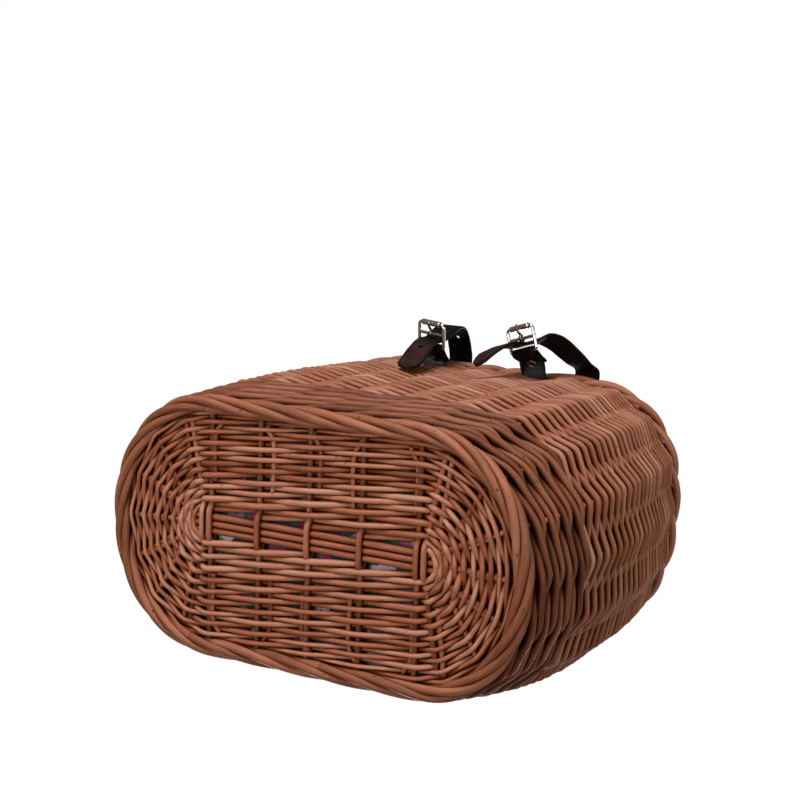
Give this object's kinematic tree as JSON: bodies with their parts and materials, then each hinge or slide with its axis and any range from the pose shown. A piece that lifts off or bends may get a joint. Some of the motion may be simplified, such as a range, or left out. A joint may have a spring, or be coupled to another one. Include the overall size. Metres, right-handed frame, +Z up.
{
  "type": "handlebar basket",
  "caption": "Oval woven willow handlebar basket, open at the top, with a printed cotton liner and two buckled leather straps at its back.",
  "frame": {"origin": "centre of the whole object's footprint, at the height of the base's flat underside", "axes": "+Z up through the mouth, +X along the oval to the left strap's end, +Y to the back, where the straps are"},
  "size_m": [0.3238, 0.2306, 0.2698],
  "materials": {
    "willow": "stained willow rods, satin, darker in the joins",
    "stick": "stained willow sticks, satin",
    "cotton": "plain-weave cotton with a small printed pattern, matt",
    "leather": "dark brown strap leather, low sheen",
    "nickel": "bright nickel plate"
  },
  "bodies": {
    "basket": {"base_long_stick_1": "stick", "base_long_stick_2": "stick", "base_long_stick_3": "stick", "base_cross_stick_1": "stick", "base_cross_stick_2": "stick", "base_cross_stick_3": "stick", "base_cross_stick_4": "stick", "base_cross_stick_5": "stick", "base_cross_stick_6": "stick", "base_cross_stick_7": "stick", "stake_01": "stick", "stake_02": "stick", "stake_03": "stick", "stake_04": "stick", "stake_05": "stick", "stake_06": "stick", "stake_07": "stick", "stake_08": "stick", "stake_09": "stick", "stake_10": "stick", "stake_11": "stick", "stake_12": "stick", "stake_13": "stick", "stake_14": "stick", "stake_15": "stick", "stake_16": "stick", "stake_17": "stick", "stake_18": "stick", "stake_19": "stick", "stake_20": "stick", "stake_21": "stick", "stake_22": "stick", "stake_23": "stick", "stake_24": "stick", "base_weave": "willow", "upsett_wale": "willow", "lower_wale": "willow", "side_weave": "willow", "rim_border": "willow", "liner": "cotton"},
    "strap_left": {"strap_left": "leather", "rivet_left": "nickel", "buckle_frame_left": "nickel"},
    "buckle_roller_left": {"buckle_roller_left": "nickel"},
    "buckle_prong_left": {"buckle_prong_left": "nickel"},
    "strap_right": {"strap_right": "leather", "rivet_right": "nickel", "buckle_frame_right": "nickel"},
    "buckle_roller_right": {"buckle_roller_right": "nickel"},
    "buckle_prong_right": {"buckle_prong_right": "nickel"}
  },
  "joints": [
    {"name": "strap_left_swing", "type": "hinge", "parent": "basket", "child": "strap_left", "pos_m": [0.037, 0.06864, 0.256], "axis": [1, 0, 0], "range_deg": [0, 25]},
    {"name": "roller_left_spin", "type": "hinge", "parent": "strap_left", "child": "buckle_roller_left", "pos_m": [0.03565, 0.1077, 0.22077], "axis": [-0.9642, -0.047, -0.261], "continuous": true},
    {"name": "prong_left_turn", "type": "hinge", "parent": "strap_left", "child": "buckle_prong_left", "pos_m": [0.0358, 0.09994, 0.2216], "axis": [-0.9642, -0.047, -0.261], "range_deg": [0, 60]},
    {"name": "strap_right_swing", "type": "hinge", "parent": "basket", "child": "strap_right", "pos_m": [-0.055, 0.06864, 0.256], "axis": [1, 0, 0], "range_deg": [0, 25]},
    {"name": "roller_right_spin", "type": "hinge", "parent": "strap_right", "child": "buckle_roller_right", "pos_m": [-0.03366, 0.11066, 0.22259], "axis": [-0.9108, 0.3089, -0.2739], "continuous": true},
    {"name": "prong_right_turn", "type": "hinge", "parent": "strap_right", "child": "buckle_prong_right", "pos_m": [-0.036, 0.10324, 0.222], "axis": [-0.9108, 0.3089, -0.2739], "range_deg": [0, 60]}
  ]
}
